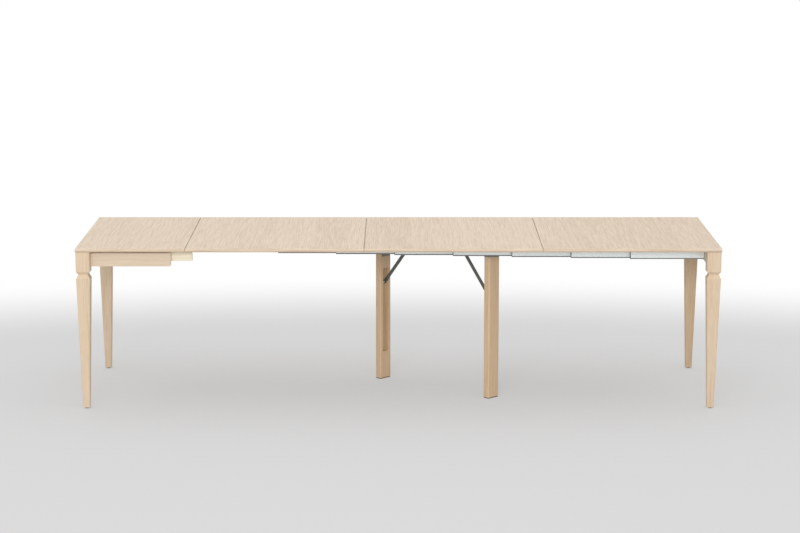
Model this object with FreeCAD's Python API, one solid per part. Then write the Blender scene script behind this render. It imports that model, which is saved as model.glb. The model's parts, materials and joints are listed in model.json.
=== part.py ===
import FreeCAD
import Part
import math
import os

# Extendable console table: a fixed end and a moving end joined by two packs of interlocking
# telescopic sections, three loose leaves over them, and two folding legs under the middle.
# Millimetres, +Z up, +X along the extension, origin on the floor under the middle of the open table.

# Top
FIXED_TOP_LENGTH = 510.0
LEAF_LENGTH = 830.0
LEAF_COUNT = 3
TABLE_WIDTH = 900.0
TABLE_HEIGHT = 765.0
TOP_THICKNESS = 16.0
TOP_CHAMFER = 1.2
PANEL_GAP = 0.3
SEAM_GROOVE = 0.9
SEAM_DEPTH = 5.0
SEAT_GAP = 0.3

# End legs
TOP_OVERHANG = 2.5
LEG_SIZE = 65.0
LEG_BLOCK_HEIGHT = 95.0
LEG_CHAMFER_HEIGHT = 12.0
LEG_NECK_INSET = 9.5
LEG_NECK_HEIGHT = 2.0
LEG_SHOULDER_HEIGHT = 18.0
LEG_FOOT_SIZE = 31.0
LEG_ARRIS = 2.0
LEG_TOP_EASE = 2.0
GLIDE_RADIUS = 11.0
GLIDE_HEIGHT = 4.0
GLIDE_CHAMFER = 1.0

# Aprons and end rails
FRAME_SETBACK = 38.0
FRAME_THICKNESS = 22.0
RAIL_DEPTH = 68.0
APRON_DEPTH = 74.0
APRON_REVEAL = 11.0
APRON_END_GAP = 2.5
APRON_CORNER = 6.0
TENON_LENGTH = 25.0
TENON_THICKNESS = 10.0
TENON_SHOULDER = 10.0
BLOCK_NEAR = 44.0
BLOCK_FAR = 75.0
BLOCK_MARGIN = 8.0
BOLT_RADIUS = 4.0
BOLT_BITE = 25.0
NUT_RADIUS = 7.5
NUT_HEIGHT = 6.5

# Telescopic slides
SLIDE_INSET = 130.0
SECTION_WIDTH = 24.0
SECTION_SPACE = 2.0
SECTION_HEIGHT = 55.7
SECTION_WALL = 2.5
SECTION_END_SPACE = 35.0
SECTION_OVERLAP = 60.0
CLOSED_GAP = 2.0
CHANNEL_MOUTH = 14.0
CHANNEL_HEIGHT = 26.0
CHANNEL_LIP = 3.0
CHANNEL_ROOM = 8.0
RIB_HEAD = 5.0
RUN_CLEARANCE = 0.5
CAP_THICKNESS = 2.0

# Leaf bearers and their straps
BEARER_THICKNESS = 24.0
BEARER_DEPTH = 52.7
BEARER_LENGTH = 278.0
BEARER_REACH = 28.0
BEARER_SIDE_GAP = 1.5
STRAP_THICKNESS = 3.0
STRAP_WIDTH = 25.0
STRAP_FLANGE = 20.0
STRAP_INSET = 18.0

# Folding centre legs
FRONT_LEG_ALONG = 185.0
FRONT_LEG_INWARD = 25.0
BACK_LEG_ALONG = 220.0
BACK_LEG_INWARD = -27.0
FOLD_ANGLE = 45.0
CENTRE_LEG_WIDTH = 72.0
CENTRE_LEG_DEPTH = 36.0
CENTRE_LEG_ROUND = 7.0
CENTRE_LEG_PLAY = 0.3
GROOVE_WIDTH = 36.0
GROOVE_DEPTH = 16.0
GROOVE_TOP = 132.0
GROOVE_LENGTH = 417.0
MOUNT_THICKNESS = 3.0
MOUNT_PACKING = 1.0
MOUNT_HALF_WIDTH = 28.0
MOUNT_HALF_LENGTH = 32.0
MOUNT_TAIL = 2.0
HINGE_THICKNESS = 2.0
HINGE_WIDTH = 50.0
HINGE_LEAF_LENGTH = 65.0
HINGE_FIXED_LENGTH = 24.0
HINGE_BARREL = 4.0
HINGE_PIN = 2.2
HINGE_PLAY = 0.2
PIN_CLEARANCE = 0.05
KNUCKLE_PLAY = 0.3
KNUCKLE_SINK = 0.5
STAY_WIDTH = 16.0
STAY_THICKNESS = 5.0
STAY_DROP = 202.0
STAY_REACH = 153.0
STAY_PIN_DEPTH = 7.0
STAY_PIN = 3.0
SLIDE_PIN = 4.0
SLIDE_PIN_SIDE_GAP = 0.5
LUG_THICKNESS = 3.0
LUG_RADIUS = 6.0
LUG_PLAY = 0.3
LUG_MARGIN = 2.2

# Places that follow from the sizes above
TABLE_LENGTH = FIXED_TOP_LENGTH + LEAF_COUNT * LEAF_LENGTH
EXTENSION = LEAF_COUNT * LEAF_LENGTH
LEFT = -TABLE_LENGTH / 2
RIGHT = TABLE_LENGTH / 2
HALF_WIDTH = TABLE_WIDTH / 2
UNDERSIDE = TABLE_HEIGHT - TOP_THICKNESS
SLIDE_TOP = UNDERSIDE - SEAT_GAP
SLIDE_BOTTOM = SLIDE_TOP - SECTION_HEIGHT
RAIL_BOTTOM = UNDERSIDE - RAIL_DEPTH
APRON_BOTTOM = UNDERSIDE - APRON_DEPTH
APRON_TOP = UNDERSIDE - APRON_REVEAL
FRAME_OUT = TOP_OVERHANG + FRAME_SETBACK
FRAME_IN = FRAME_OUT + FRAME_THICKNESS
LEG_CENTRE = TOP_OVERHANG + LEG_SIZE / 2
LEG_IN = TOP_OVERHANG + LEG_SIZE
SECTION_LENGTH = FIXED_TOP_LENGTH - 2 * FRAME_IN - CLOSED_GAP - SECTION_END_SPACE
SECTION_COUNT = 1 + math.ceil(EXTENSION / (SECTION_LENGTH - SECTION_OVERLAP))
TRAVEL = EXTENSION / (SECTION_COUNT - 1)
PITCH = SECTION_WIDTH + SECTION_SPACE
FRONT_LEG_SECTION = SECTION_COUNT // 2 - 1
BACK_LEG_SECTION = SECTION_COUNT // 2 + 1
APRON_END = LEFT + FIXED_TOP_LENGTH - LEG_IN - APRON_END_GAP
MOUNT_TOP = SLIDE_BOTTOM - MOUNT_PACKING
MOUNT_BOTTOM = MOUNT_TOP - MOUNT_THICKNESS
CENTRE_LEG_TOP = MOUNT_BOTTOM - HINGE_THICKNESS - CENTRE_LEG_PLAY
LEG_FACE = CENTRE_LEG_DEPTH / 2
HINGE_N = LEG_FACE + HINGE_BARREL + HINGE_PLAY
HINGE_Z = MOUNT_BOTTOM - HINGE_THICKNESS + KNUCKLE_SINK - HINGE_BARREL
SLIDE_PIN_N = LEG_FACE - STAY_PIN_DEPTH
SLIDE_PIN_Z = CENTRE_LEG_TOP - STAY_DROP
STAY_N = LEG_FACE + STAY_REACH
STAY_Z = HINGE_Z + SLIDE_PIN_N - HINGE_N
STAY_LENGTH = math.hypot(STAY_N - SLIDE_PIN_N, STAY_Z - SLIDE_PIN_Z)

UP = FreeCAD.Vector(0, 0, 1)
ACROSS = FreeCAD.Vector(0, 1, 0)


def box(x0, x1, y0, y1, z0, z1):
    low = FreeCAD.Vector(min(x0, x1), min(y0, y1), min(z0, z1))
    return Part.makeBox(abs(x1 - x0), abs(y1 - y0), abs(z1 - z0), low)


def prism(points, direction):
    wire = Part.makePolygon([FreeCAD.Vector(*p) for p in points + points[:1]])
    return Part.Face(wire).extrude(FreeCAD.Vector(*direction))


def fused(shapes):
    whole = shapes[0]
    for shape in shapes[1:]:
        whole = whole.fuse(shape)
    return whole.removeSplitter()


def rounded_rectangle(half_x, half_y, radius, z):
    corners = [(1, 1, 0), (-1, 1, 90), (-1, -1, 180), (1, -1, 270)]
    edges = []
    ends = []
    for sx, sy, start in corners:
        centre = FreeCAD.Vector(sx * (half_x - radius), sy * (half_y - radius), z)
        edges.append(Part.makeCircle(radius, centre, UP, start, start + 90))
        first = math.radians(start)
        last = math.radians(start + 90)
        ends.append((centre + FreeCAD.Vector(math.cos(first), math.sin(first), 0) * radius,
                     centre + FreeCAD.Vector(math.cos(last), math.sin(last), 0) * radius))
    ring = []
    for index, arc in enumerate(edges):
        ring.append(arc)
        ring.append(Part.makeLine(ends[index][1], ends[(index + 1) % len(ends)][0]))
    return Part.Wire(ring)


def eased_square(x, y, half, ease, z):
    near = half - ease
    plan = [(half, near), (near, half), (-near, half), (-half, near),
            (-half, -near), (-near, -half), (near, -half), (half, -near)]
    return [FreeCAD.Vector(x + a, y + b, z) for a, b in plan]


def flat_face(points):
    return Part.Face(Part.makePolygon(points + points[:1]))


def stacked(rings):
    faces = [flat_face(rings[0]), flat_face(rings[-1])]
    for low, high in zip(rings, rings[1:]):
        for index in range(len(low)):
            after = (index + 1) % len(low)
            faces.append(flat_face([low[index], low[after], high[after], high[index]]))
    return Part.makeSolid(Part.makeShell(faces))


def panel(x0, x1, y_half, seams):
    slab = box(x0, x1, -y_half, y_half, UNDERSIDE, TABLE_HEIGHT)
    floor = TABLE_HEIGHT - SEAM_DEPTH
    for x in seams:
        slab = slab.cut(box(x - SEAM_GROOVE, x + SEAM_GROOVE, -y_half, y_half, floor, TABLE_HEIGHT))
    rim = [e for e in slab.Edges if all(abs(v.Z - TABLE_HEIGHT) < 1e-6 for v in e.Vertexes)]
    return slab.makeChamfer(TOP_CHAMFER, rim)


def end_leg(x, y, top):
    block_bottom = UNDERSIDE - LEG_BLOCK_HEIGHT
    neck_top = block_bottom - LEG_CHAMFER_HEIGHT
    neck_bottom = neck_top - LEG_NECK_HEIGHT
    half = LEG_SIZE / 2
    levels = [(GLIDE_HEIGHT, LEG_FOOT_SIZE / 2),
              (neck_bottom - LEG_SHOULDER_HEIGHT, half),
              (neck_bottom, half - LEG_NECK_INSET),
              (neck_top, half - LEG_NECK_INSET),
              (block_bottom, half),
              (top - LEG_TOP_EASE, half),
              (top, half - LEG_TOP_EASE)]
    return stacked([eased_square(x, y, h, LEG_ARRIS, z) for z, h in levels])


def glide(x, y):
    disc = Part.makeCylinder(GLIDE_RADIUS, GLIDE_HEIGHT, FreeCAD.Vector(x, y, 0))
    rim = [e for e in disc.Edges if all(abs(v.Z) < 1e-6 for v in e.Vertexes)]
    return disc.makeChamfer(GLIDE_CHAMFER, rim)


def tenon(side):
    middle = RIGHT - FRAME_OUT - FRAME_THICKNESS / 2
    inner = HALF_WIDTH - LEG_IN
    return box(middle - TENON_THICKNESS / 2, middle + TENON_THICKNESS / 2,
               side * inner, side * (inner + TENON_LENGTH),
               RAIL_BOTTOM + TENON_SHOULDER, UNDERSIDE - SEAT_GAP - TENON_SHOULDER)


def apron(side):
    x0 = LEFT + LEG_IN
    bar = box(x0, APRON_END, side * (HALF_WIDTH - FRAME_OUT), side * (HALF_WIDTH - FRAME_IN),
              APRON_BOTTOM, APRON_TOP)
    corner = [e for e in bar.Edges
              if all(abs(v.X - APRON_END) < 1e-6 and abs(v.Z - APRON_BOTTOM) < 1e-6 for v in e.Vertexes)]
    return bar.makeFillet(APRON_CORNER, corner)


def corner_point(side, along, across):
    return (LEFT + FRAME_IN + along, side * (HALF_WIDTH - FRAME_IN - across))


def bolt_axis(side):
    direction = FreeCAD.Vector(-1, side, 0).normalize()
    middle = (RAIL_BOTTOM + APRON_TOP) / 2
    x, y = corner_point(side, BLOCK_FAR / 2, BLOCK_FAR / 2)
    return FreeCAD.Vector(x, y, middle), direction


def bolt(side):
    start, direction = bolt_axis(side)
    leg_corner = FreeCAD.Vector(LEFT + LEG_IN, side * (HALF_WIDTH - LEG_IN), start.z)
    reach = (leg_corner - start).dot(direction) + BOLT_BITE
    shank = Part.makeCylinder(BOLT_RADIUS, reach + NUT_HEIGHT, start - direction * NUT_HEIGHT, direction)
    hexagon = [FreeCAD.Vector(NUT_RADIUS * math.cos(math.radians(60 * i)),
                              NUT_RADIUS * math.sin(math.radians(60 * i)), 0) for i in range(7)]
    nut = Part.Face(Part.makePolygon(hexagon)).extrude(FreeCAD.Vector(0, 0, NUT_HEIGHT))
    turn = FreeCAD.Rotation(UP, direction)
    nut.Placement = FreeCAD.Placement(start - direction * NUT_HEIGHT, turn)
    return nut.fuse(shank).removeSplitter()


def bolt_hole(side):
    start, direction = bolt_axis(side)
    leg_corner = FreeCAD.Vector(LEFT + LEG_IN, side * (HALF_WIDTH - LEG_IN), start.z)
    reach = (leg_corner - start).dot(direction) + BOLT_BITE
    return Part.makeCylinder(BOLT_RADIUS + PIN_CLEARANCE, reach + 2 * NUT_HEIGHT,
                             start - direction * 2 * NUT_HEIGHT, direction)


def corner_block(side):
    plan = [(0, BLOCK_FAR), (0, BLOCK_NEAR), (BLOCK_NEAR, 0), (BLOCK_FAR, 0)]
    low = RAIL_BOTTOM + BLOCK_MARGIN
    points = [corner_point(side, a, b) + (low,) for a, b in plan]
    block = prism(points, (0, 0, APRON_TOP - BLOCK_MARGIN - low))
    return block.cut(bolt_hole(side))


def section_left(number):
    return LEFT + FRAME_IN + SECTION_END_SPACE + (SECTION_COUNT - number) * TRAVEL


def section_y(side, number, inward):
    return side * (HALF_WIDTH - SLIDE_INSET - (number - 1) * PITCH - inward)


def section_prism(side, number, outline, x0, x1):
    points = [(x0, section_y(side, number, w), SLIDE_BOTTOM + SECTION_HEIGHT / 2 + h) for w, h in outline]
    return prism(points, (x1 - x0, 0, 0))


def section_outline(number):
    half = SECTION_HEIGHT / 2
    mouth = CHANNEL_MOUTH / 2
    room = CHANNEL_HEIGHT / 2
    lip = SECTION_WIDTH - CHANNEL_LIP
    back = lip - CHANNEL_ROOM
    outline = [(0, half), (SECTION_WIDTH, half)]
    if number < SECTION_COUNT:
        outline += [(SECTION_WIDTH, mouth), (lip, mouth), (lip, room), (back, room),
                    (back, -room), (lip, -room), (lip, -mouth), (SECTION_WIDTH, -mouth)]
    outline += [(SECTION_WIDTH, -half), (0, -half)]
    if number > 1:
        neck = mouth - RUN_CLEARANCE
        head = room - RUN_CLEARANCE
        near = -(SECTION_SPACE + CHANNEL_LIP + RUN_CLEARANCE)
        far = near - RIB_HEAD
        outline += [(0, -neck), (near, -neck), (near, -head), (far, -head),
                    (far, head), (near, head), (near, neck), (0, neck)]
    return outline


def section_cells():
    half = SECTION_HEIGHT / 2
    room = CHANNEL_HEIGHT / 2
    back = SECTION_WIDTH - CHANNEL_LIP - CHANNEL_ROOM
    wall = SECTION_WALL
    wide = (wall, SECTION_WIDTH - wall)
    return [(wide, (room + wall, half - wall)),
            (wide, (wall - half, -room - wall)),
            ((wall, back - wall), (-room, room))]


def section(side, number):
    x0 = section_left(number) + CAP_THICKNESS
    x1 = section_left(number) + SECTION_LENGTH - CAP_THICKNESS
    bar = section_prism(side, number, section_outline(number), x0, x1)
    for (w0, w1), (h0, h1) in section_cells():
        cell = [(w0, h0), (w1, h0), (w1, h1), (w0, h1)]
        bar = bar.cut(section_prism(side, number, cell, x0 - CAP_THICKNESS, x1 + CAP_THICKNESS))
    return bar


def section_caps(side, number):
    x0 = section_left(number)
    x1 = x0 + SECTION_LENGTH
    outline = section_outline(number)
    return [section_prism(side, number, outline, x0, x0 + CAP_THICKNESS),
            section_prism(side, number, outline, x1 - CAP_THICKNESS, x1)]


def spacer(side):
    x0 = LEFT + FRAME_IN
    return box(x0, x0 + SECTION_END_SPACE, section_y(side, SECTION_COUNT, 0),
               section_y(side, SECTION_COUNT, SECTION_WIDTH), SLIDE_BOTTOM, SLIDE_TOP)


def end_plate(side):
    x1 = RIGHT - FRAME_IN
    return box(x1 - CLOSED_GAP, x1, section_y(side, 1, 0), section_y(side, 1, SECTION_WIDTH),
               SLIDE_BOTTOM, SLIDE_TOP)


def bearer_right():
    return LEFT + FIXED_TOP_LENGTH + BEARER_REACH


def bearer_y(side, inward):
    return side * (HALF_WIDTH - FRAME_IN - BEARER_SIDE_GAP - inward)


def bearer(side):
    return box(bearer_right() - BEARER_LENGTH, bearer_right(), bearer_y(side, 0),
               bearer_y(side, BEARER_THICKNESS), SLIDE_TOP - BEARER_DEPTH, SLIDE_TOP)


def strap(side, x0):
    inner = BEARER_THICKNESS + RUN_CLEARANCE
    outer = inner + STRAP_THICKNESS
    floor = SLIDE_TOP - BEARER_DEPTH - RUN_CLEARANCE
    outline = [(-BEARER_SIDE_GAP, floor), (inner, floor), (inner, UNDERSIDE),
               (outer + STRAP_FLANGE, UNDERSIDE), (outer + STRAP_FLANGE, UNDERSIDE - STRAP_THICKNESS),
               (outer, UNDERSIDE - STRAP_THICKNESS), (outer, floor - STRAP_THICKNESS),
               (-BEARER_SIDE_GAP, floor - STRAP_THICKNESS)]
    return prism([(x0, bearer_y(side, w), z) for w, z in outline], (STRAP_WIDTH, 0, 0))


def straps():
    first = bearer_right() - BEARER_LENGTH + STRAP_INSET
    last = APRON_END - STRAP_INSET - STRAP_WIDTH
    return [strap(side, x) for side in (-1, 1) for x in (first, last)]


class CentreLeg:
    """A folding leg under one slide section, drawn with its fold direction along +X."""

    def __init__(self, side, number, along, inward):
        self.side = side
        self.number = number
        self.x = section_left(number) + along
        self.y = section_y(side, number, SECTION_WIDTH / 2 + inward)
        self.angle = -FOLD_ANGLE if side > 0 else 180.0 - FOLD_ANGLE

    def placed(self, shape):
        shape = shape.copy()
        turn = FreeCAD.Rotation(UP, self.angle)
        shape.Placement = FreeCAD.Placement(FreeCAD.Vector(self.x, self.y, 0), turn).multiply(shape.Placement)
        return shape

    def leg(self):
        outline = rounded_rectangle(LEG_FACE, CENTRE_LEG_WIDTH / 2, CENTRE_LEG_ROUND, GLIDE_HEIGHT)
        post = Part.Face(outline).extrude(UP * (CENTRE_LEG_TOP - GLIDE_HEIGHT))
        top = CENTRE_LEG_TOP - GROOVE_TOP
        half = GROOVE_WIDTH / 2
        groove = box(LEG_FACE - GROOVE_DEPTH, LEG_FACE + CENTRE_LEG_ROUND, -half, half,
                     top, top - GROOVE_LENGTH)
        return self.placed(post.cut(groove))

    def foot(self):
        inset = GLIDE_CHAMFER
        upper = rounded_rectangle(LEG_FACE - inset, CENTRE_LEG_WIDTH / 2 - inset, CENTRE_LEG_ROUND - inset, 0)
        return self.placed(Part.Face(upper).extrude(UP * GLIDE_HEIGHT))

    def knuckle(self, y0, y1):
        centre = FreeCAD.Vector(HINGE_N, y0, HINGE_Z)
        return Part.makeCylinder(HINGE_BARREL, y1 - y0, centre, ACROSS)

    def pin_hole(self, clearance):
        centre = FreeCAD.Vector(HINGE_N, -HINGE_WIDTH, HINGE_Z)
        return Part.makeCylinder(HINGE_PIN + clearance, 2 * HINGE_WIDTH, centre, ACROSS)

    def fixed_leaf(self):
        half = HINGE_WIDTH / 2
        third = HINGE_WIDTH / 6
        edge = HINGE_N - HINGE_BARREL - KNUCKLE_PLAY
        low = MOUNT_BOTTOM - HINGE_THICKNESS
        pieces = [box(edge - HINGE_FIXED_LENGTH, edge, -half, half, low, MOUNT_BOTTOM)]
        for y0, y1 in ((-half, -third - KNUCKLE_PLAY), (third + KNUCKLE_PLAY, half)):
            pieces.append(box(edge, HINGE_N, y0, y1, low, MOUNT_BOTTOM))
            pieces.append(self.knuckle(y0, y1))
        return self.placed(fused(pieces).cut(self.pin_hole(0)))

    def moving_leaf(self):
        half = HINGE_WIDTH / 2
        third = HINGE_WIDTH / 6
        top = HINGE_Z - HINGE_BARREL - KNUCKLE_PLAY
        outer = LEG_FACE + HINGE_THICKNESS
        pieces = [box(LEG_FACE, outer, -half, half, top - HINGE_LEAF_LENGTH, top),
                  box(LEG_FACE, outer, -third, third, top, HINGE_Z),
                  self.knuckle(-third, third)]
        return self.placed(fused(pieces).cut(self.pin_hole(PIN_CLEARANCE)))

    def hinge_pin(self):
        centre = FreeCAD.Vector(HINGE_N, -HINGE_WIDTH / 2, HINGE_Z)
        return self.placed(Part.makeCylinder(HINGE_PIN, HINGE_WIDTH, centre, ACROSS))

    def lug(self, y0):
        plate = box(STAY_N - LUG_RADIUS, STAY_N + LUG_RADIUS, y0, y0 + LUG_THICKNESS, STAY_Z, MOUNT_BOTTOM)
        end = Part.makeCylinder(LUG_RADIUS, LUG_THICKNESS, FreeCAD.Vector(STAY_N, y0, STAY_Z), ACROSS)
        hole = Part.makeCylinder(STAY_PIN, LUG_THICKNESS, FreeCAD.Vector(STAY_N, y0, STAY_Z), ACROSS)
        return plate.fuse(end).cut(hole)

    def mount(self):
        reach = STAY_N + LUG_RADIUS + LUG_MARGIN
        strip = self.placed(box(-LEG_FACE - MOUNT_TAIL, reach + MOUNT_HALF_WIDTH, -MOUNT_HALF_WIDTH,
                                MOUNT_HALF_WIDTH, MOUNT_BOTTOM, MOUNT_TOP))
        pivot_x = self.x + self.side * STAY_N * math.cos(math.radians(FOLD_ANGLE))
        limit = pivot_x + self.side * (LUG_RADIUS + LUG_MARGIN)
        strip = strip.common(box(limit, limit - self.side * TABLE_WIDTH, -HALF_WIDTH, HALF_WIDTH,
                                 MOUNT_BOTTOM, MOUNT_TOP))
        y0 = section_y(self.side, self.number, 0)
        y1 = section_y(self.side, self.number, SECTION_WIDTH)
        saddle = box(self.x - MOUNT_HALF_LENGTH, self.x + MOUNT_HALF_LENGTH, y0, y1,
                     MOUNT_BOTTOM, SLIDE_BOTTOM)
        inner = STAY_THICKNESS / 2 + LUG_PLAY
        lugs = [self.placed(self.lug(y)) for y in (inner, -inner - LUG_THICKNESS)]
        return fused([strip, saddle] + lugs)

    def stay_pin(self):
        half = STAY_THICKNESS / 2 + LUG_PLAY + LUG_THICKNESS
        centre = FreeCAD.Vector(STAY_N, -half, STAY_Z)
        return self.placed(Part.makeCylinder(STAY_PIN, 2 * half, centre, ACROSS))

    def stay(self):
        half = STAY_WIDTH / 2
        low = -STAY_THICKNESS / 2
        bar = box(0, STAY_LENGTH, low, -low, -half, half)
        for x in (0, STAY_LENGTH):
            bar = bar.fuse(Part.makeCylinder(half, STAY_THICKNESS, FreeCAD.Vector(x, low, 0), ACROSS))
        bar = bar.removeSplitter()
        for x, radius in ((0, STAY_PIN + PIN_CLEARANCE), (STAY_LENGTH, SLIDE_PIN)):
            bar = bar.cut(Part.makeCylinder(radius, STAY_THICKNESS, FreeCAD.Vector(x, low, 0), ACROSS))
        run = FreeCAD.Vector(SLIDE_PIN_N - STAY_N, 0, SLIDE_PIN_Z - STAY_Z)
        turn = FreeCAD.Rotation(ACROSS, math.degrees(math.atan2(-run.z, run.x)))
        bar.Placement = FreeCAD.Placement(FreeCAD.Vector(STAY_N, 0, STAY_Z), turn)
        return self.placed(bar)

    def slide_pin(self):
        half = GROOVE_WIDTH / 2 - SLIDE_PIN_SIDE_GAP
        centre = FreeCAD.Vector(SLIDE_PIN_N, -half, SLIDE_PIN_Z)
        return self.placed(Part.makeCylinder(SLIDE_PIN, 2 * half, centre, ACROSS))


def save(name, shapes):
    whole = shapes[0] if len(shapes) == 1 else Part.makeCompound(shapes)
    whole.exportStep(os.path.join("parts", name + ".step"))


def build_top():
    left_seam = LEFT + FIXED_TOP_LENGTH
    fixed_end = left_seam - PANEL_GAP / 2
    save("fixed_top", [panel(LEFT, fixed_end, HALF_WIDTH, [fixed_end])])
    for index in range(LEAF_COUNT):
        x0 = left_seam + index * LEAF_LENGTH + PANEL_GAP / 2
        last = index == LEAF_COUNT - 1
        x1 = RIGHT if last else x0 + LEAF_LENGTH - PANEL_GAP
        seams = [x0] if last else [x0, x1]
        save("leaf_%d" % (index + 1), [panel(x0, x1, HALF_WIDTH, seams)])


def build_left_end():
    x = LEFT + LEG_CENTRE
    y = HALF_WIDTH - LEG_CENTRE
    for name, side in (("front", -1), ("back", 1)):
        save("left_%s_leg" % name, [end_leg(x, side * y, UNDERSIDE).cut(bolt_hole(side))])
        save("%s_apron" % name, [apron(side)])
    inner = HALF_WIDTH - LEG_IN
    save("left_end_rail", [box(LEFT + FRAME_OUT, LEFT + FRAME_IN, -inner, inner, RAIL_BOTTOM, UNDERSIDE)])
    save("left_glides", [glide(x, -y), glide(x, y)])
    save("left_corner_blocks", [corner_block(-1), corner_block(1)])
    save("left_corner_bolts", [bolt(-1), bolt(1)])
    save("slide_spacers", [spacer(-1), spacer(1)])
    save("bearer_straps", straps())
    save("leaf_bearers", [bearer(-1), bearer(1)])


def build_right_end():
    x = RIGHT - LEG_CENTRE
    y = HALF_WIDTH - LEG_CENTRE
    top = UNDERSIDE - SEAT_GAP
    for name, side in (("front", -1), ("back", 1)):
        save("right_%s_leg" % name, [end_leg(x, side * y, top).cut(tenon(side))])
    inner = HALF_WIDTH - LEG_IN
    bar = box(RIGHT - FRAME_OUT, RIGHT - FRAME_IN, -inner, inner, RAIL_BOTTOM, top)
    save("right_end_rail", [fused([bar, tenon(-1), tenon(1)])])
    save("right_glides", [glide(x, -y), glide(x, y)])
    save("slide_end_plates", [end_plate(-1), end_plate(1)])


def build_slides():
    for number in range(1, SECTION_COUNT + 1):
        save("slide_section_%d" % number, [section(-1, number), section(1, number)])
        save("slide_caps_%d" % number, section_caps(-1, number) + section_caps(1, number))


def build_centre_legs():
    front = CentreLeg(-1, FRONT_LEG_SECTION, FRONT_LEG_ALONG, FRONT_LEG_INWARD)
    back = CentreLeg(1, BACK_LEG_SECTION, BACK_LEG_ALONG, BACK_LEG_INWARD)
    for name, unit in (("front", front), ("back", back)):
        save(name + "_mount", [unit.mount()])
        save(name + "_hinge_fixed_leaf", [unit.fixed_leaf()])
        save(name + "_hinge_moving_leaf", [unit.moving_leaf()])
        save(name + "_hinge_pin", [unit.hinge_pin()])
        save(name + "_centre_leg", [unit.leg()])
        save(name + "_centre_glide", [unit.foot()])
        save(name + "_stay", [unit.stay()])
        save(name + "_stay_pin", [unit.stay_pin()])
        save(name + "_slide_pin", [unit.slide_pin()])


os.makedirs("parts", exist_ok=True)
build_top()
build_left_end()
build_right_end()
build_slides()
build_centre_legs()
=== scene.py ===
"""Looks for an extendable console table of bleached oak on telescopic aluminium slides."""

import json
import logging
import math
from dataclasses import dataclass
from enum import Enum, IntEnum
from typing import Callable, Dict, Iterable, List, Optional, Sequence, Tuple, Union

import bpy
import numpy as np
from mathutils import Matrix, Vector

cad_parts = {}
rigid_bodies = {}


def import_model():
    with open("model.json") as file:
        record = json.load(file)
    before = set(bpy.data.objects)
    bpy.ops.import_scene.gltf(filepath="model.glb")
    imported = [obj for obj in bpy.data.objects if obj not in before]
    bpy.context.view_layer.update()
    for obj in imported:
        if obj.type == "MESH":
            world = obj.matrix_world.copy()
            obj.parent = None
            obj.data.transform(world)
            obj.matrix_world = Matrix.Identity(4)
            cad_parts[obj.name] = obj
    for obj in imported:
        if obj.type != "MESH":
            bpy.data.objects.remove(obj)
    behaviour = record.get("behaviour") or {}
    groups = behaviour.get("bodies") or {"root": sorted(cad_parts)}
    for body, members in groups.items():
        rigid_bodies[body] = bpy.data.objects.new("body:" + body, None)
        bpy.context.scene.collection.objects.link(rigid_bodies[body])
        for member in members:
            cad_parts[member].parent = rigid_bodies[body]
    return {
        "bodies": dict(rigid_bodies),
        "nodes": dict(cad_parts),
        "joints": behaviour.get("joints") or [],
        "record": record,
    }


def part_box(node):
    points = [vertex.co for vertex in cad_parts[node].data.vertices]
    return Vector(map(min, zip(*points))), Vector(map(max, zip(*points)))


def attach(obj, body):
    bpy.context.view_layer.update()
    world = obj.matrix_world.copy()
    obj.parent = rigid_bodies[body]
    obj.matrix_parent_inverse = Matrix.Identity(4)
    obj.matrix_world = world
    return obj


logging.basicConfig(level=logging.INFO, format="%(name)s: %(message)s")
LOG = logging.getLogger("console_table")

Number = Union[int, float]
Colour = Tuple[float, float, float]
Triple = Tuple[float, float, float]
Pair = Tuple[float, float]
Shape = Tuple[np.ndarray, List[Sequence[int]]]

WHITE: Colour = (1.0, 1.0, 1.0)
DIAGONAL = math.sqrt(0.5)
NEARLY_UPRIGHT = 0.9


class Grain(Enum):
    """The way that the fibres of a wooden piece run: the axes along, across and through it."""

    X = (0, 1, 2)
    Y = (1, 0, 2)
    Z = (2, 0, 1)


class Seed(IntEnum):
    """Numbers that move the figure of the wood, so that pieces differ."""

    PANELS = 1
    END_LEGS = 5
    APRONS = 9
    END_RAILS = 10
    BLOCKS = 11
    BEARERS = 12
    FRONT_LEG = 13
    BACK_LEG = 14


@dataclass(frozen=True)
class Cloud:
    """The texture of a noise: its octaves, the strength of the finer ones and its own bend."""

    octaves: float
    strength: float
    bend: float = 0.0


@dataclass(frozen=True)
class WoodMarks:
    """How closely the marks of a wood repeat, per metre, and how much each one tells."""

    drift: Cloud = Cloud(2.0, 0.5, 0.3)
    drift_along: float = 0.7
    drift_share: float = 0.08
    ring_across: float = 190.0
    ring_through: float = 120.0
    ring_along: float = 0.8
    ring_bend: float = 46.0
    ring_sharpness: float = 1.6
    ring_share: float = 0.04
    streak: Cloud = Cloud(4.0, 0.75)
    streak_along: float = 4.5
    streak_across: float = 170.0
    streak_share: float = 0.60
    fibre: Cloud = Cloud(2.0, 0.6)
    fibre_along: float = 9.0
    fibre_share: float = 0.28
    fibre_polish: float = 0.14
    fibre_height: float = 0.25
    pore: Cloud = Cloud(1.0, 0.5)
    pore_along: float = 34.0
    pore_fineness: float = 1.6
    pore_start: float = 0.70
    pore_spread: float = 0.25
    pore_full: float = 0.80
    pore_between_rings: float = 0.35
    pore_colour: float = 2.2
    pore_polish: float = 0.12
    pore_depth: float = 0.8
    tone_low: float = 0.33
    tone_high: float = 0.69
    band_edge: float = 0.0003
    band_gain: float = 0.9
    band_base: float = 0.06
    relief: float = 0.16
    relief_height: float = 0.0003


@dataclass(frozen=True)
class WoodFinish:
    """A wood's colours, planks and polish, lengths in metres."""

    name: str
    light: Colour
    dark: Colour
    pore: Colour
    # Painted shade: the colour mixed in where shade falls, in seams, grooves and along a lower arris.
    painted_shade_colour: Colour = (0.20, 0.125, 0.07)
    roughness: float = 0.52
    plank: float = 0.30
    plank_tone: float = 0.08
    drift_across: float = 14.0
    fibre_across: float = 620.0
    pore_share: float = 0.26
    coat: float = 0.05
    coat_roughness: float = 0.35
    specular: float = 0.38
    band: Optional[float] = None
    marks: WoodMarks = WoodMarks()


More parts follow.
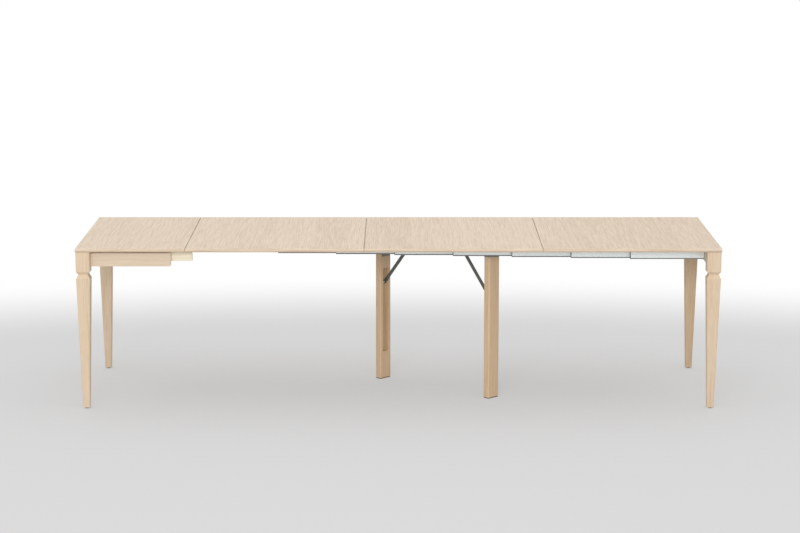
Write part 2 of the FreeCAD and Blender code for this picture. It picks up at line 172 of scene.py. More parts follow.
@dataclass(frozen=True)
class MetalFinish:
    """A drawn metal's colours, polish and lines, with a dark band of painted shade along its lower lip."""

    base: Colour
    shade: Colour
    strip: Colour
    strip_height: float
    roughness: float
    metallic: float
    line: Cloud = Cloud(2.0, 0.6)
    line_along: float = 3.0
    line_across: float = 900.0
    line_share: float = 0.5
    line_polish: float = 0.06
    cloud: Cloud = Cloud(3.0, 0.5)
    cloud_along: float = 6.0
    cloud_across: float = 20.0
    cloud_share: float = 0.3
    cloud_polish: float = 0.16
    strip_start: float = 0.00025
    strip_start_edge: float = 0.00015
    strip_end_edge: float = 0.0008
    relief: float = 0.05
    relief_height: float = 0.0002


@dataclass(frozen=True)
class CoatFinish:
    """A painted, plated or moulded surface with a fine texture."""

    name: str
    base: Colour
    worn: Colour
    roughness: float
    metallic: float
    grit_scale: float
    relief: float
    relief_height: float = 0.0003
    grit: Cloud = Cloud(2.0, 0.6)
    wear: Cloud = Cloud(5.0, 0.65)
    wear_scale: float = 38.0
    wear_middle: float = 0.62
    wear_half: float = 0.16
    wear_polish: float = 0.24


OAK_TOP = WoodFinish(
    "oak_top", (0.855, 0.715, 0.56), (0.625, 0.475, 0.335), (0.50, 0.36, 0.24), roughness=0.50, plank=0.165,
    plank_tone=0.048, drift_across=9.0, fibre_across=520.0, pore_share=0.30, coat=0.06, band=0.4485)
OAK_LEG = WoodFinish("oak_leg", (0.79, 0.63, 0.46), (0.65, 0.485, 0.325), (0.46, 0.32, 0.20))
# Painted light: a lighter copy of the oak for the aprons and end rails, offsetting the shade under the top's
# overhang.
OAK_RAIL_PAINTED_LIGHT = WoodFinish("oak_rail", (0.83, 0.70, 0.555), (0.70, 0.555, 0.405), (0.50, 0.37, 0.25))
# Painted shade: a darker copy of the leg oak for the right back leg, which stands in shade.
OAK_BACK_PAINTED_SHADE = WoodFinish("oak_back", (0.71, 0.535, 0.365), (0.565, 0.40, 0.25), (0.41, 0.27, 0.16))
# Painted shade: a darker, warmer copy of the leg oak for the centre legs, which stand in the table's shade.
OAK_CENTRE_PAINTED_SHADE = WoodFinish(
    "oak_centre", (0.75, 0.55, 0.36), (0.60, 0.41, 0.245), (0.40, 0.26, 0.145), pore_share=0.30)
SOFTWOOD = WoodFinish(
    "softwood", (0.97, 0.90, 0.73), (0.90, 0.80, 0.60), (0.80, 0.68, 0.48), roughness=0.58, drift_across=22.0,
    fibre_across=420.0, pore_share=0.08, coat=0.0)
# The dark band on the aluminium's lower lip is painted shade, standing in for the shade under each section's
# lower flange.
ALUMINIUM = MetalFinish(
    base=(0.84, 0.885, 0.88), shade=(0.77, 0.815, 0.81), strip=(0.20, 0.20, 0.205), strip_height=0.0055,
    roughness=0.38, metallic=0.50)
CAP_PLASTIC = CoatFinish(
    "cap_plastic", base=(0.060, 0.060, 0.062), worn=(0.10, 0.10, 0.10), roughness=0.55, metallic=0.0,
    grit_scale=900.0, relief=0.06)
GLIDE_PLASTIC = CoatFinish(
    "glide_plastic", base=(0.040, 0.035, 0.030), worn=(0.09, 0.08, 0.07), roughness=0.70, metallic=0.0,
    grit_scale=700.0, relief=0.10)
ZINC_STEEL = CoatFinish(
    "zinc_steel", base=(0.74, 0.74, 0.73), worn=(0.60, 0.60, 0.59), roughness=0.36, metallic=0.55,
    grit_scale=260.0, relief=0.03)
DARK_STEEL = CoatFinish(
    "dark_steel", base=(0.110, 0.112, 0.102), worn=(0.18, 0.182, 0.17), roughness=0.46, metallic=0.25,
    grit_scale=1100.0, relief=0.12)
BROWNED_STEEL = CoatFinish(
    "browned_steel", base=(0.25, 0.205, 0.155), worn=(0.33, 0.275, 0.215), roughness=0.48, metallic=0.20,
    grit_scale=1100.0, relief=0.10)


class Sock:
    """A shader value that can be used in sums, with the maths nodes made on the way."""

    def __init__(self, graph: "Graph", socket: bpy.types.NodeSocket) -> None:
        """Keeps the tree and the output that gives the value."""
        self.graph = graph
        self.socket = socket

    def __add__(self, other: Union["Sock", Number]) -> "Sock":
        """Returns the sum."""
        return self.graph.math("ADD", self, other)

    def __radd__(self, other: Number) -> "Sock":
        """Returns the sum with a number on the left."""
        return self.graph.math("ADD", other, self)

    def __sub__(self, other: Union["Sock", Number]) -> "Sock":
        """Returns the difference."""
        return self.graph.math("SUBTRACT", self, other)

    def __rsub__(self, other: Number) -> "Sock":
        """Returns the difference from a number on the left."""
        return self.graph.math("SUBTRACT", other, self)

    def __mul__(self, other: Union["Sock", Number]) -> "Sock":
        """Returns the product."""
        return self.graph.math("MULTIPLY", self, other)

    def __rmul__(self, other: Number) -> "Sock":
        """Returns the product with a number on the left."""
        return self.graph.math("MULTIPLY", other, self)

    def __truediv__(self, other: Union["Sock", Number]) -> "Sock":
        """Returns the quotient."""
        return self.graph.math("DIVIDE", self, other)

    def __rtruediv__(self, other: Number) -> "Sock":
        """Returns the quotient of a number on the left."""
        return self.graph.math("DIVIDE", other, self)

    def __pow__(self, other: Union["Sock", Number]) -> "Sock":
        """Returns the power."""
        return self.graph.math("POWER", self, other)

    def __rpow__(self, other: Number) -> "Sock":
        """Returns the power of a number on the left."""
        return self.graph.math("POWER", other, self)

    def __abs__(self) -> "Sock":
        """Returns the value without its sign."""
        return self.graph.math("ABSOLUTE", self)

    def floor(self) -> "Sock":
        """Returns the value rounded down."""
        return self.graph.math("FLOOR", self)

    def sine(self) -> "Sock":
        """Returns the sine of the value in radians."""
        return self.graph.math("SINE", self)

    def at_least(self, other: "Sock") -> "Sock":
        """Returns the larger of two values, so that this one is at least the other."""
        return self.graph.math("MAXIMUM", self, other)

    def step(self, low: float, high: float) -> "Sock":
        """Returns a smooth rise from 0 to 1 between two values."""
        sockets = {"Value": self, "From Min": low, "From Max": high}
        return self.graph.value("ShaderNodeMapRange", sockets, "Result", interpolation_type="SMOOTHSTEP")

    def rise(self, middle: float, half: float) -> "Sock":
        """Returns a smooth rise from 0 to 1 that reaches by half to either side of a middle."""
        return self.step(middle - half, middle + half)


Place = Tuple[Sock, Sock, Sock]
# A painted shade gives, at a place, the share of a dark colour that stands in for shade.
PaintedShade = Callable[[Place], Sock]
Value = Union[Sock, Number, Sequence[float]]
Key = Union[str, int]


class Graph:
    """The node tree of a material or of the world, built by calls that return values."""

    # The mix node's colour sockets share their names with its other kinds, so they go by number.
    MIX_LOW = 6
    MIX_HIGH = 7
    MIX_COLOUR = 2

    def __init__(self, owner: Union[bpy.types.Material, bpy.types.World]) -> None:
        """Empties the owner's tree.

        Args:
            owner: the material or world that the tree belongs to.
        """
        self.owner = owner
        self.owner.use_nodes = True
        self.tree = owner.node_tree
        self.tree.nodes.clear()

    def node(self, kind: str, sockets: Optional[Dict[Key, Value]] = None,
             **settings: object) -> bpy.types.Node:
        """Adds a node.

        Args:
            kind: the node's type name.
            sockets: values or links for its inputs, by name or number.
            settings: its properties, which are set first.

        Returns:
            The node.
        """
        made = self.tree.nodes.new(kind)
        for key, setting in settings.items():
            setattr(made, key, setting)
        for key, value in (sockets or {}).items():
            if isinstance(value, Sock):
                self.tree.links.new(value.socket, made.inputs[key])
            else:
                made.inputs[key].default_value = value
        return made

    def value(self, kind: str, sockets: Optional[Dict[Key, Value]] = None, output: Key = 0,
              **settings: object) -> Sock:
        """Adds a node and hands out one of its outputs.

        Args:
            kind: the node's type name.
            sockets: values or links for its inputs, by name or number.
            output: the output's name or number.
            settings: its properties, which are set first.

        Returns:
            The output's value.
        """
        return Sock(self, self.node(kind, sockets, **settings).outputs[output])

    def math(self, operation: str, *values: Union[Sock, Number]) -> Sock:
        """Returns the result of one maths node."""
        return self.value("ShaderNodeMath", dict(enumerate(values)), operation=operation)

    def place(self) -> Place:
        """Returns the piece's own X, Y and Z in metres."""
        split = self.node("ShaderNodeSeparateXYZ", {0: self.value("ShaderNodeTexCoord", output="Object")})
        return tuple(Sock(self, out) for out in split.outputs)

    def noise(self, at: Sequence[Value], cloud: Cloud) -> Sock:
        """Samples smooth noise of unit scale.

        Args:
            at: the place's three values, already scaled.
            cloud: the noise's texture.

        Returns:
            Noise around one half.
        """
        vector = self.value("ShaderNodeCombineXYZ", dict(enumerate(at)))
        sockets = {"Vector": vector, "Scale": 1.0, "Detail": cloud.octaves, "Roughness": cloud.strength,
                   "Distortion": cloud.bend}
        return self.value("ShaderNodeTexNoise", sockets, "Fac", noise_dimensions="3D")

    def chance(self, whole: Sock) -> Sock:
        """Returns one random number for each whole value."""
        return self.value("ShaderNodeTexWhiteNoise", {"W": whole}, "Value", noise_dimensions="1D")

    def mix(self, share: Sock, low: Union[Sock, Colour], high: Union[Sock, Colour]) -> Sock:
        """Mixes two colours.

        Args:
            share: 0 gives low and 1 gives high.
            low: the first colour.
            high: the second colour.

        Returns:
            The mixed colour.
        """
        pair = [end if isinstance(end, Sock) else (*end, 1.0) for end in (low, high)]
        sockets = {0: share, self.MIX_LOW: pair[0], self.MIX_HIGH: pair[1]}
        return self.value("ShaderNodeMix", sockets, self.MIX_COLOUR, data_type="RGBA")

    def bump(self, height: Sock, strength: float, distance: float) -> Sock:
        """Bends the normal by a height.

        Args:
            height: the height, 0 to 1.
            strength: how strongly it shows.
            distance: the height of 1, in metres.

        Returns:
            The normal.
        """
        sockets = {"Height": height, "Strength": strength, "Distance": distance}
        return self.value("ShaderNodeBump", sockets, "Normal")

    def seen(self) -> Sock:
        """Tells the rays that show the background from those that light the scene.

        Returns:
            1 on rays from the camera, a gloss or a clear body, and 0 on all others.
        """
        path = self.node("ShaderNodeLightPath")
        camera, glossy, through = (
            Sock(self, path.outputs["Is %s Ray" % kind]) for kind in ("Camera", "Glossy", "Transmission"))
        return camera.at_least(glossy).at_least(through)

    def principled(self, **sockets: Value) -> bpy.types.Material:
        """Ends a material with one shader.

        Args:
            sockets: the shader's inputs, with underscores for spaces.

        Returns:
            The finished material.
        """
        named = {key.replace("_", " "): value for key, value in sockets.items()}
        return self.finish(self.value("ShaderNodeBsdfPrincipled", named))

    def finish(self, shader: Sock) -> Union[bpy.types.Material, bpy.types.World]:
        """Joins a shader to the owner's output.

        Args:
            shader: the shader's output.

        Returns:
            The owner of the tree.
        """
        kind = "World" if isinstance(self.owner, bpy.types.World) else "Material"
        self.node("ShaderNodeOutput%s" % kind, {"Surface": shader})
        return self.owner


class Finishes:
    """Makes each procedural material once and hands it out by name."""

    SEED_STEP = 3.17
    LUCK_STEP = 17.0
    CLOUD_STEP = 2.3
    PLANK_SLIP = 5.0

    def __init__(self) -> None:
        """Starts with no material."""
        self.made: Dict[str, bpy.types.Material] = {}

    def start(self, name: str) -> Graph:
        """Starts a material.

        Args:
            name: the material's name.

        Returns:
            Its empty tree.
        """
        graph = Graph(bpy.data.materials.new(name))
        self.made[name] = graph.owner
        LOG.info("material %s", name)
        return graph

    def wood(self, finish: WoodFinish, grain: Grain, seed: int,
             shade: Optional[PaintedShade] = None) -> bpy.types.Material:
        """Makes a wood whose fibres run along one axis.

        Rings are sines of the distance across the grain, bent by slow noise. Streaks, fibres and
        pores are noise drawn out along the grain. Planks are whole numbers of the distance across,
        each with its own tone. Painted shade darkens seams, grooves and a lower arris by a given
        share. A panel's end grain is covered by a band whose fibres run across.

        Args:
            finish: the colours and figure.
            grain: the way of the fibres.
            seed: moves the figure, so that pieces differ.
            shade: gives the share of painted shade at a place.

        Returns:
            The material.
        """
        name = "%s_%s_%d" % (finish.name, grain.name.lower(), seed)
        if name in self.made:
            return self.made[name]
        graph = self.start(name)
        marks = finish.marks
        place = graph.place()
        length, across, through = (place[axis] for axis in grain.value)
        across = across + self.SEED_STEP * seed
        luck = graph.chance((across / finish.plank).floor() + self.LUCK_STEP * seed)
        along = length + luck * self.PLANK_SLIP

        def drawn_out(lengthwise: float, crosswise: float) -> Tuple[Sock, Sock, Sock]:
            """Returns the place with marks that repeat slowly along the grain and closely across it."""
            return along * lengthwise, across * crosswise, through * crosswise

        drift = graph.noise(drawn_out(marks.drift_along, finish.drift_across), marks.drift)
        turn = (across * marks.ring_across + through * marks.ring_through + drift * marks.ring_bend
                + along * marks.ring_along)
        rings = (turn.sine() * 0.5 + 0.5) ** marks.ring_sharpness
        streak = graph.noise(drawn_out(marks.streak_along, marks.streak_across), marks.streak)
        fibre = graph.noise(drawn_out(marks.fibre_along, finish.fibre_across), marks.fibre)
        pore_across = finish.fibre_across * marks.pore_fineness
        pores = graph.noise(drawn_out(marks.pore_along, pore_across), marks.pore)
        open_rings = marks.pore_between_rings + rings * (1.0 - marks.pore_between_rings)
        pore_start = marks.pore_start - finish.pore_share * marks.pore_spread
        pits = pores.step(pore_start, marks.pore_full) * open_rings
        tone = (drift * marks.drift_share + rings * marks.ring_share + streak * marks.streak_share
                + fibre * marks.fibre_share + (luck - 0.5) * finish.plank_tone)
        if finish.band is not None:
            edge = abs(length).rise(finish.band, marks.band_edge)
            turned = (across * marks.streak_along, through * marks.streak_across, 0.0)
            lipping = graph.noise(turned, marks.streak)
            tone = tone + edge * (lipping * marks.band_gain + marks.band_base - tone)
            pits = pits * (1.0 - edge)
        ripe = graph.mix(tone.step(marks.tone_low, marks.tone_high), finish.light, finish.dark)
        colour = graph.mix(pits * (finish.pore_share * marks.pore_colour), ripe, finish.pore)
        # Painted shade: mixes in the dark colour where shade falls.
        if shade is not None:
            colour = graph.mix(shade(place), colour, finish.painted_shade_colour)
        height = 1.0 - pits * marks.pore_depth - fibre * marks.fibre_height
        return graph.principled(
            Base_Color=colour,
            Roughness=finish.roughness + (fibre - 0.5) * marks.fibre_polish + pits * marks.pore_polish,
            Normal=graph.bump(height, marks.relief, marks.relief_height),
            Coat_Weight=finish.coat,
            Coat_Roughness=finish.coat_roughness,
            Specular_IOR_Level=finish.specular,
        )

    def drawn(self, finish: MetalFinish, seed: int, foot: float) -> bpy.types.Material:
        """Makes an extruded metal with fine lines along X and a dark band of painted shade up its lower lip.

        Args:
            finish: the colours and polish.
            seed: moves the lines, so that sections differ.
            foot: the height of the section's lower face, which stays bright.

        Returns:
            The material.
        """
        graph = self.start("drawn_metal_%d" % seed)
        x, y, z = graph.place()
        line_at = (x * finish.line_along + seed, y * finish.line_across, z * finish.line_across)
        lines = graph.noise(line_at, finish.line)
        cloud_at = (x * finish.cloud_along + seed * self.CLOUD_STEP, y * finish.cloud_across,
                    z * finish.cloud_across)
        cloud = graph.noise(cloud_at, finish.cloud)
        metal = graph.mix(lines * finish.line_share + cloud * finish.cloud_share, finish.base, finish.shade)
        # Painted shade: a dark band up the section's lower lip, where shade falls under it, with less
        # metallic gloss.
        above = z.rise(foot + finish.strip_start, finish.strip_start_edge)
        lip = above * (1.0 - z.rise(foot + finish.strip_height, finish.strip_end_edge))
        return graph.principled(
            Base_Color=graph.mix(lip, metal, finish.strip),
            Metallic=finish.metallic - lip * finish.metallic,
            Roughness=finish.roughness + (cloud - 0.5) * finish.cloud_polish + lines * finish.line_polish,
            Normal=graph.bump(lines, finish.relief, finish.relief_height),
        )

    def coated(self, finish: CoatFinish) -> bpy.types.Material:
        """Makes a plated, painted or moulded surface with grit and faint wear.

        Args:
            finish: the colours and texture.

        Returns:
            The material.
        """
        if finish.name in self.made:
            return self.made[finish.name]
        graph = self.start(finish.name)
        place = graph.place()
        grit = graph.noise([axis * finish.grit_scale for axis in place], finish.grit)
        wear = graph.noise([axis * finish.wear_scale for axis in place], finish.wear)
        return graph.principled(
            Base_Color=graph.mix(wear.rise(finish.wear_middle, finish.wear_half), finish.base, finish.worn),
            Metallic=finish.metallic,
            Roughness=finish.roughness + (wear - 0.5) * finish.wear_polish,
            Normal=graph.bump(grit, finish.relief, finish.relief_height),
        )


class Shop:
    """Makes further pieces, puts them on bodies and gives CAD nodes their materials."""

    def __init__(self, frame: Dict[str, dict]) -> None:
        """Keeps the loaded frame and starts a set of finishes."""
        self.frame = frame
        self.finishes = Finishes()

    def dress(self, nodes: Iterable[str], material: bpy.types.Material) -> None:
        """Gives CAD nodes a material.

        Args:
            nodes: the nodes' names.
            material: the material that replaces their own.
        """
        for name in nodes:
            mesh = self.frame["nodes"][name].data
            mesh.materials.clear()
            mesh.materials.append(material)
            LOG.info("dressed %s in %s", name, material.name)

    def screws(self, name: str, shape: Shape, body: str) -> None:
        """Makes a set of plated screw heads at the origin and lets it ride on a body.

        Args:
            name: the piece's name.
            shape: its points in the row frame, in metres, and its faces.
            body: the CAD body that it moves with.
        """
        points, faces = shape
        mesh = bpy.data.meshes.new(name)
        mesh.from_pydata(points.tolist(), [], faces)
        mesh.polygons.foreach_set("use_smooth", np.ones(len(mesh.polygons), bool))
        mesh.materials.append(self.finishes.coated(ZINC_STEEL))
        mesh.update()
        made = bpy.data.objects.new(name, mesh)
        bpy.context.scene.collection.objects.link(made)
        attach(made, body)
        LOG.info("piece %s on %s: %d faces", name, body, len(mesh.polygons))


def grid_faces(rows: int, columns: int, wrap: bool) -> np.ndarray:
    """Numbers the quads of a grid of points.

    Each quad goes from a point to the next row, then to the next column, so that it faces the
    side from which rows, then columns, turn anticlockwise.

    Args:
        rows: the number of rows.
        columns: the number of points in a row.
        wrap: whether each row closes on itself.

    Returns:
        An array of quads.
    """
    steps = columns if wrap else columns - 1
    row, column = np.meshgrid(np.arange(rows - 1), np.arange(steps), indexing="ij")
    following = (column + 1) % columns
    quads = [row * columns + column, (row + 1) * columns + column,
             (row + 1) * columns + following, row * columns + following]
    return np.stack(quads, -1).reshape(-1, 4)


@dataclass(frozen=True)
class Screw:
    """A countersunk screw head with a cross, lengths in metres."""

    radius: float = 0.0038
    rise: float = 0.0007
    recess: float = 0.00054
    arm_half: float = 0.0005
    arm_edge: float = 0.0002
    arm_reach: float = 0.66
    arm_run_out: float = 0.06
    arm_fade: float = 0.5
    dome: float = 0.86
    seat: float = 0.0004
    rings: int = 14
    turns: int = 40

    def height(self, share: np.ndarray, turn: np.ndarray) -> np.ndarray:
        """Works out the head's height over its seat.

        The height is a shallow dome, which falls with the square of the share of the radius, less a
        cross. The cross is where the distance from either arm's middle line is under half its width
        and the share under the arm's reach, and it grows shallower towards the rim.

        Args:
            share: the share of the radius.
            turn: the angle round the head.

        Returns:
            The height in metres.
        """
        arm = self.radius * share * np.minimum(np.abs(np.cos(turn)), np.abs(np.sin(turn)))
        cross = np.clip((self.arm_half - arm) / self.arm_edge, 0, 1)
        cross = cross * np.clip((self.arm_reach - share) / self.arm_run_out, 0, 1)
        return self.rise * (1 - self.dome * share ** 2) - self.recess * cross * (1 - self.arm_fade * share)

    def head(self, out: np.ndarray) -> np.ndarray:
        """Works out the points of one head about its own centre.

        A ring's points lie at its share of the radius, at even angles and at the head's height. The
        last ring repeats the rim below the face as a skirt, and a pole closes each side.

        Args:
            out: the face's outward direction, of length 1.

        Returns:
            The points of the rings from the middle to the skirt, then the upper and the lower pole.
        """
        ring = np.arange(1, self.rings + 1) / self.rings
        angle = np.linspace(0, 2 * np.pi, self.turns, endpoint=False)
        share, turn = np.meshgrid(np.append(ring, 1.0), angle, indexing="ij")
        height = self.height(share, turn)
        height[-1] = -self.seat
        poles = np.array([[0.0, 0.0, self.rise - self.recess], [0.0, 0.0, -self.seat]])
        reach = self.radius * share
        grid = np.stack([reach * np.cos(turn), reach * np.sin(turn), height], -1)
        helper = np.eye(3)[2 if abs(out[2]) < NEARLY_UPRIGHT else 0]
        first = np.cross(helper, out)
        first = first / np.linalg.norm(first)
        return np.concatenate([grid.reshape(-1, 3), poles]) @ np.stack([first, np.cross(out, first), out])

    def faces(self) -> Tuple[np.ndarray, np.ndarray]:
        """Numbers one head's faces: quads between its rings and a fan at each pole.

        Returns:
            The quads and the fans' triangles.
        """
        here = np.arange(self.turns)
        ahead = (here + 1) % self.turns
        skirt = self.rings * self.turns
        top = skirt + self.turns
        upper = np.stack([np.full_like(here, top), here, ahead], -1)
        lower = np.stack([np.full_like(here, top + 1), skirt + ahead, skirt + here], -1)
        return grid_faces(self.rings + 1, self.turns, True), np.concatenate([upper, lower])

    def heads(self, places: Sequence[Sequence[float]], out: Sequence[float]) -> Shape:
        """Makes several heads that face one way.

        Args:
            places: the heads' places on the face.
            out: the outward direction of the face.

        Returns:
            The points and faces of all of them.
        """
        head = self.head(np.array(out, float) / np.linalg.norm(out))
        points = np.array(places, float)[:, None] + head
        starts = np.arange(len(points)) * len(head)
        faces: List[Sequence[int]] = []
        for group in self.faces():
            faces += (starts[:, None, None] + group).reshape(-1, group.shape[1]).tolist()
        return points.reshape(-1, 3), faces


@dataclass(frozen=True)
class PanelPaintedShade:
    """Painted shade in the grooves at a panel's seams and along its lower arris and underside, in metres."""

    seams: Tuple[float, ...]
    underside: float
    seam_half: float = 0.00115
    seam_edge: float = 0.0001
    seam_shade_share: float = 0.6
    arris: float = 0.0055
    arris_edge: float = 0.001
    arris_shade_share: float = 0.34

    def __call__(self, place: Place) -> Sock:
        """Works out the share of painted shade.

        Args:
            place: the place on the panel.

        Returns:
            The larger of the shares that the arris and the seams give.
        """
        x, _, z = place
        # Painted shade: darker along the lower arris and underside, and darker still in the seam grooves,
        # where shade falls.
        dark = (1.0 - z.rise(self.underside + self.arris, self.arris_edge)) * self.arris_shade_share
        for seam in self.seams:
            near = 1.0 - abs(x - seam).rise(self.seam_half, self.seam_edge)
            dark = dark.at_least(near * self.seam_shade_share)
        return dark


@dataclass(frozen=True)
class GroovePaintedShade:
    """Painted shade in the groove down a centre leg's face, in metres."""

    middle: Pair
    out: Pair
    face: float
    half: float
    depth: float
    share: float
    lip: float = 0.002
    side_play: float = 0.0005
    side_edge: float = 0.0003
    floor_play: float = 0.0012
    floor_edge: float = 0.0004

    def __call__(self, place: Place) -> Sock:
        """Works out the share of painted shade, which grows with the distance behind the face.

        Args:
            place: the place on the leg.

        Returns:
            The share, 0 outside the groove's width and below its floor.
        """
        x, y = place[0] - self.middle[0], place[1] - self.middle[1]
        behind = self.face - (x * self.out[0] + y * self.out[1])
        aside = abs(y * self.out[0] - x * self.out[1])
        between = 1.0 - aside.rise(self.half + self.side_play, self.side_edge)
        before_floor = 1.0 - behind.rise(self.depth + self.floor_play, self.floor_edge)
        # Painted shade: darker with depth inside the groove, where shade falls.
        return between * before_floor * behind.step(-self.lip, self.depth) * self.share


@dataclass(frozen=True)
class Top:
    """The fixed top panel and the loose leaves, lengths in metres."""

    shop: Shop
    panels: Tuple[str, ...] = ("fixed_top", "leaf_1", "leaf_2", "leaf_3")
    outer_end: float = 1.49

    def dress(self) -> None:
        """Gives each panel its own veneer, with the grain across the table and painted shade in its seams and
        along its lower arris.
        """
        for seed, name in enumerate(self.panels, Seed.PANELS):
            low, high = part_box(name)
            seams = tuple(x for x in (low.x, high.x) if abs(x) < self.outer_end)
            veneer = self.shop.finishes.wood(OAK_TOP, Grain.Y, seed, PanelPaintedShade(seams, low.z))
            self.shop.dress([name], veneer)


@dataclass(frozen=True)
class EndFrames:
    """The legs, aprons, rails and joining pieces at both ends, lengths in metres."""

    shop: Shop
    strap_width: float = 0.025
    strap_thickness: float = 0.003
    strap_screw: float = 0.039

    def dress(self) -> None:
        """Runs the grain down the legs and along the rails, and plates the fittings."""
        wood, coated = self.shop.finishes.wood, self.shop.finishes.coated
        # The right back leg gets a darker oak as painted shade.
        legs = {"left_front_leg": OAK_LEG, "left_back_leg": OAK_LEG, "right_front_leg": OAK_LEG,
                "right_back_leg": OAK_BACK_PAINTED_SHADE}
        for seed, (name, finish) in enumerate(legs.items(), Seed.END_LEGS):
            self.shop.dress([name], wood(finish, Grain.Z, seed))
        # The aprons and end rails get a lighter oak as painted light.
        self.shop.dress(["front_apron", "back_apron"], wood(OAK_RAIL_PAINTED_LIGHT, Grain.X, Seed.APRONS))
        self.shop.dress(["left_end_rail", "right_end_rail"], wood(OAK_RAIL_PAINTED_LIGHT, Grain.Y, Seed.END_RAILS))
        self.shop.dress(["left_corner_blocks"], wood(SOFTWOOD, Grain.Z, Seed.BLOCKS))
        self.shop.dress(["slide_spacers", "leaf_bearers"], wood(SOFTWOOD, Grain.X, Seed.BEARERS))
        self.shop.dress(["left_glides", "right_glides"], coated(GLIDE_PLASTIC))
        self.shop.dress(["left_corner_bolts", "bearer_straps", "slide_end_plates"], coated(ZINC_STEEL))

    def build(self) -> None:
        """Adds the screws that hold the bearers' straps under the fixed top."""
        low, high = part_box("bearer_straps")
        rows = (low.x + self.strap_width / 2, high.x - self.strap_width / 2)
        sides = (low.y + self.strap_screw, high.y - self.strap_screw)
        places = [(x, y, high.z - self.strap_thickness) for y in sides for x in rows]
        heads = Screw().heads(places, (0.0, 0.0, -1.0))
        self.shop.screws("strap_screws", heads, "left_end")


@dataclass(frozen=True)
class Slides:
    """The two packs of telescopic sections."""

    shop: Shop
    count: int = 10

    def dress(self) -> None:
        """Gives each section drawn aluminium and each cap dark plastic."""
        finishes = self.shop.finishes
        for number in range(1, self.count + 1):
            section = "slide_section_%d" % number
            low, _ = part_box(section)
            self.shop.dress([section], finishes.drawn(ALUMINIUM, number, low.z))
            self.shop.dress(["slide_caps_%d" % number], finishes.coated(CAP_PLASTIC))


@dataclass(frozen=True)
class FoldingLeg:
    """One folding centre leg with its hinge, mount and stay, lengths in metres."""

    shop: Shop
    name: str
    out: Pair
    seed: int
    face: float = 0.018
    groove_half: float = 0.018
    groove_depth: float = 0.016
    groove_shade_share: float = 0.24
    hinge_face: float = 0.020
    screw_side: float = 0.016
    screw_rows: Tuple[float, ...] = (0.0165, 0.0325, 0.0485)

    def nodes(self, *tails: str) -> List[str]:
        """Returns the full names of some of this leg's nodes."""
        return ["%s_%s" % (self.name, tail) for tail in tails]

    def middle(self) -> Pair:
        """Returns the place of the leg's middle line on the floor."""
        low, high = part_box(*self.nodes("centre_leg"))
        return (low.x + high.x) / 2, (low.y + high.y) / 2

    def dress(self) -> None:
        """Gives the leg oak darkened as painted shade, with more painted shade in its groove, its hinge
        browned steel, its pins plated steel and its stay dark paint.
        """
        finishes = self.shop.finishes
        groove = GroovePaintedShade(
            self.middle(), self.out, self.face, self.groove_half, self.groove_depth, self.groove_shade_share)
        # Painted shade: a darker oak, with more of it in the groove.
        self.shop.dress(self.nodes("centre_leg"), finishes.wood(OAK_CENTRE_PAINTED_SHADE, Grain.Z, self.seed, groove))
        self.shop.dress(self.nodes("centre_glide"), finishes.coated(GLIDE_PLASTIC))
        self.shop.dress(self.nodes("hinge_pin", "stay_pin", "slide_pin"), finishes.coated(ZINC_STEEL))
        self.shop.dress(self.nodes("mount", "stay"), finishes.coated(DARK_STEEL))
        self.shop.dress(self.nodes("hinge_fixed_leaf", "hinge_moving_leaf"), finishes.coated(BROWNED_STEEL))

    def build(self) -> None:
        """Adds the screws of the hinge's leaf on the leg's face."""
        low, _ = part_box(*self.nodes("hinge_moving_leaf"))
        out = np.array([*self.out, 0.0])
        aside = np.array([-self.out[1], self.out[0], 0.0])
        places = [np.array([*self.middle(), low.z + row]) + out * self.hinge_face + aside * side
                  for side in (-self.screw_side, self.screw_side) for row in self.screw_rows]
        piece, = self.nodes("hinge_screws")
        self.shop.screws(piece, Screw().heads(places, out), self.name + "_leg")


@dataclass(frozen=True)
class Lamp:
    """A soft rectangular light."""

    name: str
    place: Triple
    aim: Triple
    size: Pair
    watts: float
    tint: Colour

    def hang(self) -> None:
        """Puts the light in its place, turned to its aim."""
        data = bpy.data.lights.new(self.name, "AREA")
        data.shape = "RECTANGLE"
        data.size, data.size_y = self.size
        data.energy = self.watts
        data.color = self.tint
        made = bpy.data.objects.new(self.name, data)
        made.location = self.place
        made.rotation_mode = "QUATERNION"
        made.rotation_quaternion = (Vector(self.aim) - Vector(self.place)).to_track_quat("-Z", "Y")
        bpy.context.scene.collection.objects.link(made)
        LOG.info("lamp %s", self.name)


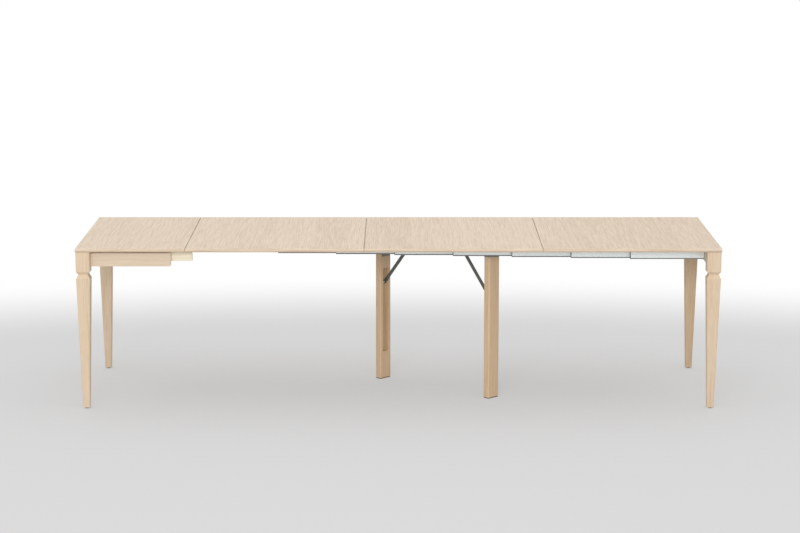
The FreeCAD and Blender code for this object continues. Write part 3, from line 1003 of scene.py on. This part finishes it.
@dataclass(frozen=True)
class Studio:
    """The pale floor, the white surroundings, the soft lights and the camera, lengths in metres."""

    lamps: Tuple[Lamp, ...] = (
        Lamp("key", (-1.5, -12.5, 4.0), (0.0, 0.0, 0.4), (6.0, 3.0), 630.0, (1.0, 0.99, 0.975)),
        Lamp("over", (0.3, 0.0, 5.5), (0.3, 0.0, 0.0), (9.0, 7.0), 70.0, WHITE))
    world_light: float = 0.66
    floor_reach: float = 60.0
    floor_lines: int = 9
    floor_grey: Colour = (0.56, 0.56, 0.56)
    floor_roughness: float = 0.85
    floor_lift: float = 0.35
    floor_squash: float = 0.6
    fade_back: float = 1.2
    fade_start: float = 2.5
    fade_end: float = 4.1
    camera_place: Triple = (0.0003, -11.0042, 2.6596)
    camera_pitch: float = 10.613
    camera_yaw: float = 0.036
    lens_mm: float = 104.21
    sensor_mm: float = 36.0
    sight: float = 200.0

    def floor_paint(self) -> bpy.types.Material:
        """Makes a matt grey that is seen to fade to white away from the table.

        Returns:
            The material.
        """
        graph = Graph(bpy.data.materials.new("studio_floor"))
        x, y, _ = graph.place()
        far = ((x * self.floor_squash) ** 2.0 + (y + self.fade_back) ** 2.0) ** 0.5
        fade = far.step(self.fade_start, self.fade_end)
        share = (fade * (1.0 - self.floor_lift) + self.floor_lift) * graph.seen()
        grey = {"Base Color": (*self.floor_grey, 1.0), "Roughness": self.floor_roughness}
        matt = graph.value("ShaderNodeBsdfPrincipled", grey)
        glow = graph.value("ShaderNodeEmission", {"Color": (*WHITE, 1.0)})
        return graph.finish(graph.value("ShaderNodeMixShader", {0: share, 1: matt, 2: glow}))

    def floor(self) -> None:
        """Lays a wide flat floor: a grid of even steps each way, at height 0."""
        ticks = np.linspace(-self.floor_reach, self.floor_reach, self.floor_lines)
        x, y = np.meshgrid(ticks, ticks, indexing="ij")
        points = np.stack([x, y, np.zeros_like(x)], -1).reshape(-1, 3)
        mesh = bpy.data.meshes.new("studio_floor")
        quads = grid_faces(self.floor_lines, self.floor_lines, False)
        mesh.from_pydata(points.tolist(), [], quads.tolist())
        mesh.materials.append(self.floor_paint())
        flat = bpy.data.objects.new("studio_floor", mesh)
        bpy.context.scene.collection.objects.link(flat)
        LOG.info("floor %s: %d faces", flat.name, len(mesh.polygons))

    def surroundings(self) -> None:
        """Lights the table evenly from all round, and shows white where nothing stands."""
        graph = Graph(bpy.data.worlds.new("studio_world"))
        even, white = (graph.value("ShaderNodeBackground", {"Color": (*WHITE, 1.0), "Strength": strength})
                       for strength in (self.world_light, 1.0))
        blend = graph.value("ShaderNodeMixShader", {0: graph.seen(), 1: even, 2: white})
        bpy.context.scene.world = graph.finish(blend)

    def camera(self) -> None:
        """Sets the camera at the photograph's viewing angle, with plain colours."""
        data = bpy.data.cameras.new("camera")
        data.lens = self.lens_mm
        data.sensor_width = self.sensor_mm
        data.clip_end = self.sight
        made = bpy.data.objects.new("camera", data)
        made.location = self.camera_place
        made.rotation_euler = (math.radians(90.0 - self.camera_pitch), 0.0, math.radians(-self.camera_yaw))
        bpy.context.scene.collection.objects.link(made)
        bpy.context.scene.camera = made
        bpy.context.scene.view_settings.view_transform = "Standard"

    def build(self) -> None:
        """Builds the whole studio."""
        self.floor()
        self.surroundings()
        for lamp in self.lamps:
            lamp.hang()
        self.camera()


def main() -> None:
    """Loads the CAD frame, dresses it, adds the further pieces and sets the studio."""
    for old in list(bpy.data.objects):
        bpy.data.objects.remove(old)
    shop = Shop(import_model())
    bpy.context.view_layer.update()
    Top(shop).dress()
    ends = EndFrames(shop)
    ends.dress()
    ends.build()
    Slides(shop).dress()
    legs = (FoldingLeg(shop, "front", (-DIAGONAL, DIAGONAL), Seed.FRONT_LEG),
            FoldingLeg(shop, "back", (DIAGONAL, -DIAGONAL), Seed.BACK_LEG))
    for leg in legs:
        leg.dress()
        leg.build()
    Studio().build()


if __name__ == "__main__":
    main()
